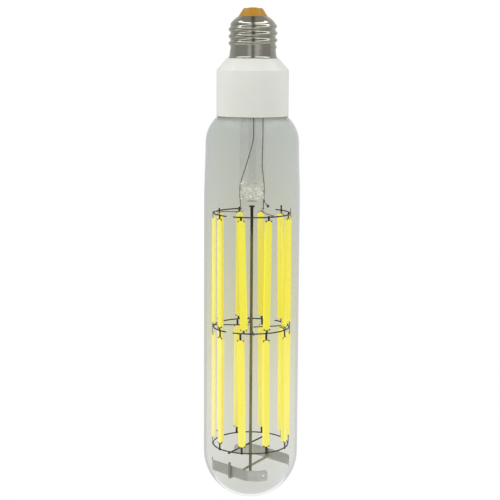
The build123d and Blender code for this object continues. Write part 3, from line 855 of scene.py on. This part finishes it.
def getter():
    """The small getter on its wire beside the pinch."""
    route = ((6.75, 0, -75.7), (6.75, 0, -77.0), (7.3, 0.1, -78.0), GETTER_PLACE)
    bead = lathe(
        [(0, -0.85), (0.45, -0.8), (0.72, -0.5), (0.75, 0.4), (0.5, 0.78), (0, 0.85)], 24,
        closed=False,
    )
    bmesh.ops.translate(bead, vec=Vector(GETTER_PLACE) * MM, verts=bead.verts)
    bm = join(tube(route, GETTER_WIRE_RADIUS), bead)
    piece("getter_on_wire", bm, GETTER_METAL, "getter_metal", "getter")


# Rod, rings and spokes
def centre_rod():
    """The long rod with its wider head."""
    low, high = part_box("centre_rod")
    bottom, top = low.z / MM, high.z / MM
    profile = [
        (0, bottom), (ROD_RADIUS - 0.1, bottom), (ROD_RADIUS, bottom + 0.1),
        (ROD_RADIUS, top - ROD_HEAD_HEIGHT), (ROD_HEAD_RADIUS - 0.1, top - ROD_HEAD_HEIGHT),
        (ROD_HEAD_RADIUS, top - ROD_HEAD_HEIGHT + 0.1), (ROD_HEAD_RADIUS, top - 0.1),
        (ROD_HEAD_RADIUS - 0.1, top), (0, top),
    ]
    piece("rod_drawn", lathe(profile, 32), ROD_METAL, "rod_metal", "centre_rod")


def rings():
    """The half rings of the upper and middle tier and the whole lower ring."""
    halves = (("left", LEFT_HALF), ("right", RIGHT_HALF))
    for tier, height in (("upper", UPPER_RING_Z), ("middle", MIDDLE_RING_Z)):
        for side, (start, sweep) in halves:
            bm = ring_arc(RING_RADIUS, RING_WIRE_RADIUS, height, start, sweep, 96)
            piece(f"{tier}_half_ring_{side}_wire", bm, WIRE_METAL, "nickel_wire",
                  f"{tier}_half_ring_{side}")
    bm = ring_arc(RING_RADIUS, RING_WIRE_RADIUS, LOWER_RING_Z, 0, 360, 160)
    piece("lower_ring_wire", bm, WIRE_METAL, "nickel_wire", "lower_ring")


def bead_and_wires():
    """The glass bead at the middle rings and its four thin wires."""
    low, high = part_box("rod_bead")
    bottom, top = low.z / MM, high.z / MM
    profile = (
        [(ROD_RADIUS, bottom)] + arc(0.95, bottom + BEAD_ROUND, BEAD_ROUND, -90, 0, 5)
        + arc(0.95, top - BEAD_ROUND, BEAD_ROUND, 0, 90, 5) + [(ROD_RADIUS, top)]
    )
    bead = piece("rod_bead_fused", lathe(profile, 48), STEM_GLASS, "stem_glass", "rod_bead")
    clear_of_light(bead)
    wires = []
    for azimuth, side in BEAD_WIRES:
        height = MIDDLE_RING_Z + side * (RING_WIRE_RADIUS + BEAD_WIRE_RADIUS)
        ends = (polar(1.3, azimuth, height), polar(WELD_RADIUS, azimuth, height))
        wires.append(tube(ends, BEAD_WIRE_RADIUS, smooth=False))
    piece("bead_wires_drawn", join(*wires), WIRE_METAL, "nickel_wire", "bead_wires")


def lower_spoke():
    """The spoke under the lower ring, welded beside the rod."""
    height = LOWER_RING_Z - RING_WIRE_RADIUS - SPOKE_RADIUS
    side = Vector((-sin(radians(SPOKE_AZIMUTH)), cos(radians(SPOKE_AZIMUTH)), 0))
    shift = side * (ROD_RADIUS + SPOKE_RADIUS)
    reach = RING_RADIUS + SPOKE_OVERHANG
    ends = [Vector(polar(end, SPOKE_AZIMUTH, height)) + shift for end in (-reach, reach)]
    weld = blob(side * ROD_RADIUS + Vector((0, 0, height)), *SPOKE_WELD)
    bm = join(tube(ends, SPOKE_RADIUS, smooth=False), weld)
    piece("lower_spoke_drawn", bm, WIRE_METAL, "nickel_wire", "lower_ring_spoke")


# Filaments
def filaments():
    """Rounded gel strips and their flat terminals, made from the CAD strips in place."""
    for tier in ("upper", "lower"):
        for index in range(1, 11):
            node = f"{tier}_filament_{index:02d}"
            bm = filled_copy(node)
            bmesh.ops.bevel(
                bm, geom=bm.edges[:], offset=GEL_ROUNDING * MM, offset_type="OFFSET", segments=4,
                profile=0.5, affect="EDGES", material=-1, clamp_overlap=True,
            )
            piece(f"{node}_gel", bm, PHOSPHOR, "yellow_phosphor", node, sharp=60)
        for end in ("top", "bottom"):
            node = f"{tier}_{end}_terminals"
            piece(f"{node}_plates", flat_copy(node), TERMINAL_METAL, "terminal_metal", node,
                  sharp=30)


# Foot
def spring_carrier():
    """The bent wire beside the rod's end, turned up at both tips, with its weld."""
    front_low = Vector((*FRONT_UPRIGHT, FRONT_CORNER_Z))
    back_low = Vector((*BACK_UPRIGHT, BACK_CORNER_Z))
    middle = Vector((-CARRIER_OFFSET, CARRIER_OFFSET, CARRIER_Z))
    up = Vector((0, 0, 1))
    from_front = (middle - front_low).normalized()
    from_back = (middle - back_low).normalized()
    route = [
        front_low + up * UPRIGHT_LENGTH, front_low + up * CORNER_BEND, front_low,
        front_low + from_front * CORNER_BEND, middle - from_front * MIDDLE_BEND, middle,
        middle - from_back * MIDDLE_BEND, back_low + from_back * CORNER_BEND, back_low,
        back_low + up * CORNER_BEND, back_low + up * UPRIGHT_LENGTH,
    ]
    weld = blob(middle * 0.5 + Vector((0, 0, CARRIER_Z * 0.5)), *CARRIER_WELD)
    bm = join(tube(route, CARRIER_RADIUS, 16), weld)
    piece("spring_carrier_bent", bm, CARRIER_METAL, "nickel_wire", "spring_carrier")


def leaf_springs():
    """The two leaf springs, with their narrow upper and lower edges in a darker metal."""
    for side in ("front", "back"):
        node = f"leaf_spring_{side}"
        bm = flat_copy(node)
        for face in bm.faces:
            if abs(face.normal.z) > SPRING_EDGE_SLOPE:
                face.material_index = 1
        strip = piece(f"{node}_strip", bm, SPRING_METAL, "spring_steel", node, sharp=35)
        strip.data.materials.append(WIRE_METAL)


# Hidden pieces keep their CAD shape
def dress_hidden():
    """Finishes for the pieces inside the collar, which keep their CAD meshes."""
    finishes = {
        "collar_adhesive": ADHESIVE, "driver_board": BOARD, "driver_chip": EPOXY,
        "rectifier_bridge": EPOXY, "inductor": EPOXY, "filter_capacitor": SLEEVE,
        "fuse_resistor": RESISTOR, "live_wire": WIRE_SLEEVE, "neutral_wire": WIRE_SLEEVE,
    }
    for node, material in finishes.items():
        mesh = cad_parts[node].data
        mesh.materials.clear()
        mesh.materials.append(material)


# Studio
def studio():
    """The camera at the photograph's place, with plain colours."""
    camera_data = bpy.data.cameras.new("camera")
    camera_data.sensor_fit = "HORIZONTAL"
    camera_data.angle = 2 * atan(PHOTO_WIDTH / 2 / FOCAL_PIXELS)
    camera = bpy.data.objects.new("camera", camera_data)
    bpy.context.scene.collection.objects.link(camera)
    camera.location = EYE
    aim = (Vector(AIM) - Vector(EYE)).to_track_quat("-Z", "Y")
    camera.rotation_euler = (aim.to_matrix() @ Matrix.Rotation(CAMERA_ROLL, 3, "Z")).to_euler()
    bpy.context.scene.camera = camera
    bpy.context.scene.view_settings.view_transform = "Standard"


def sees_white(tree):
    """A factor of 1 for camera, glossy and transmission rays, which see the plain white."""
    light_path = tree.nodes.new("ShaderNodeLightPath")
    factor = light_path.outputs["Is Camera Ray"]
    for ray in ("Is Glossy Ray", "Is Transmission Ray"):
        either = tree.nodes.new("ShaderNodeMath")
        either.operation = "MAXIMUM"
        tree.links.new(factor, either.inputs[0])
        tree.links.new(light_path.outputs[ray], either.inputs[1])
        factor = either.outputs[0]
    return factor


def surroundings():
    """White for what sees it directly, in metal or through glass, and a softer light level."""
    world = bpy.data.worlds.new("studio")
    bpy.context.scene.world = world
    world.use_nodes = True
    tree = world.node_tree
    background = tree.nodes["Background"]
    level = tree.nodes.new("ShaderNodeMapRange")
    level.inputs["To Min"].default_value = WORLD_LEVEL
    level.inputs["To Max"].default_value = 1.0
    tree.links.new(sees_white(tree), level.inputs["Value"])
    background.inputs["Color"].default_value = (1, 1, 1, 1)
    tree.links.new(level.outputs["Result"], background.inputs["Strength"])


def floor():
    """A wide pale floor far below the hanging bulb, which keeps its faint shadow."""
    bm = bmesh.new()
    bmesh.ops.create_grid(bm, x_segments=8, y_segments=8, size=FLOOR_SIZE)
    bmesh.ops.translate(bm, vec=(0, 0, FLOOR_Z), verts=bm.verts)
    mesh = bpy.data.meshes.new("floor")
    bm.to_mesh(mesh)
    bm.free()
    ground = bpy.data.objects.new("floor", mesh)
    bpy.context.scene.collection.objects.link(ground)
    material = bpy.data.materials.new("pale_floor")
    material.use_nodes = True
    tree = material.node_tree
    shader = tree.nodes["Principled BSDF"]
    shader.inputs["Base Color"].default_value = (0.85, 0.85, 0.85, 1)
    shader.inputs["Roughness"].default_value = 0.8
    glow = tree.nodes.new("ShaderNodeEmission")
    glow.inputs["Strength"].default_value = FLOOR_GLOW
    share = tree.nodes.new("ShaderNodeMath")
    share.operation = "MULTIPLY"
    share.inputs[1].default_value = FLOOR_GLOW_SHARE
    mix = tree.nodes.new("ShaderNodeMixShader")
    tree.links.new(sees_white(tree), share.inputs[0])
    tree.links.new(share.outputs[0], mix.inputs[0])
    tree.links.new(shader.outputs[0], mix.inputs[1])
    tree.links.new(glow.outputs[0], mix.inputs[2])
    tree.links.new(mix.outputs[0], tree.nodes["Material Output"].inputs["Surface"])
    mesh.materials.append(material)


def screen(name, bm, levels):
    """A glowing screen that only shows in gloss, as bright as its levels say across the bulb."""
    mesh = bpy.data.meshes.new(name)
    bm.to_mesh(mesh)
    bm.free()
    panel = bpy.data.objects.new(name, mesh)
    bpy.context.scene.collection.objects.link(panel)
    panel.visible_camera = False
    panel.visible_diffuse = False
    panel.visible_transmission = False
    panel.visible_shadow = False
    panel.visible_volume_scatter = False
    material = bpy.data.materials.new(name)
    material.use_nodes = True
    material.cycles.emission_sampling = "NONE"
    tree = material.node_tree
    tree.nodes.remove(tree.nodes["Principled BSDF"])
    glow = tree.nodes.new("ShaderNodeEmission")
    stops = [(place, (level, level, level, 1)) for place, level in levels]
    reach = SCREEN_RADIUS / MM
    tree.links.new(axis_ramp(tree, stops, -reach, reach, "X"), glow.inputs["Color"])
    tree.links.new(glow.outputs[0], tree.nodes["Material Output"].inputs["Surface"])
    mesh.materials.append(material)
    return glow


def round_wall(name, foot, head, middle, half_sweep, levels, strength=1.0):
    """A screen on a turned wall, from a foot to a head, centred on one compass angle."""
    bm = bmesh.new()
    low = bm.verts.new((foot[0], 0, foot[1]))
    high = bm.verts.new((head[0], 0, head[1]))
    edge = bm.edges.new((low, high))
    turn = Matrix.Rotation(radians(middle - half_sweep), 3, "Z")
    bmesh.ops.rotate(bm, cent=(0, 0, 0), matrix=turn, verts=bm.verts)
    bmesh.ops.spin(
        bm, geom=[low, high, edge], cent=(0, 0, 0), axis=(0, 0, 1),
        angle=radians(2 * half_sweep), steps=64,
    )
    glow = screen(name, bm, levels)
    glow.inputs["Strength"].default_value = strength


def screens():
    """Screens all round and overhead, for the bands in the polished cap."""
    low, high = (SCREEN_RADIUS, -SCREEN_HALF_HEIGHT), (SCREEN_RADIUS, SCREEN_HALF_HEIGHT)
    round_wall("front_screen", low, high, -90, FRONT_HALF_SWEEP, FRONT_LEVELS)
    round_wall("back_screen", low, high, 90, 180 - FRONT_HALF_SWEEP, BACK_LEVELS)
    round_wall("upper_screen", high, UPPER_HEAD, -90, UPPER_HALF_SWEEP, UPPER_LEVELS,
               UPPER_STRENGTH)
    bm = bmesh.new()
    bmesh.ops.create_grid(bm, x_segments=4, y_segments=4, size=SCREEN_RADIUS * CEILING_REACH)
    bmesh.ops.translate(bm, vec=(0, 0, CEILING_Z), verts=bm.verts)
    screen("ceiling_screen", bm, CEILING_LEVELS)


def lamp(name, place, size, watts):
    """One soft area lamp aimed at the bulb."""
    data = bpy.data.lights.new(name, "AREA")
    data.shape = "RECTANGLE"
    data.size, data.size_y = size
    data.energy = watts
    body = bpy.data.objects.new(name, data)
    bpy.context.scene.collection.objects.link(body)
    body.location = place
    body.rotation_euler = (Vector(LAMP_AIM) - Vector(place)).to_track_quat("-Z", "Y").to_euler()
    body.visible_camera = False
    body.visible_transmission = False
    body.visible_glossy = False


def lamps():
    """Soft boxes at the left and right, and one above."""
    lamp("left_box", (-1.1, -0.55, 0.35), (0.6, 0.8), 8.0)
    lamp("right_box", (1.1, -0.5, 0.3), (0.6, 0.8), 6.0)
    lamp("top_box", (0.0, 0.0, 1.2), (0.8, 0.8), 2.0)


studio()
surroundings()
floor()
screens()
lamps()
screw_shell()
cap_insulator()
contact_button()
collar()
glass_envelope()
stem()
exhaust_tube()
lead_wires()
getter()
centre_rod()
rings()
bead_and_wires()
lower_spoke()
filaments()
spring_carrier()
leaf_springs()
dress_hidden()
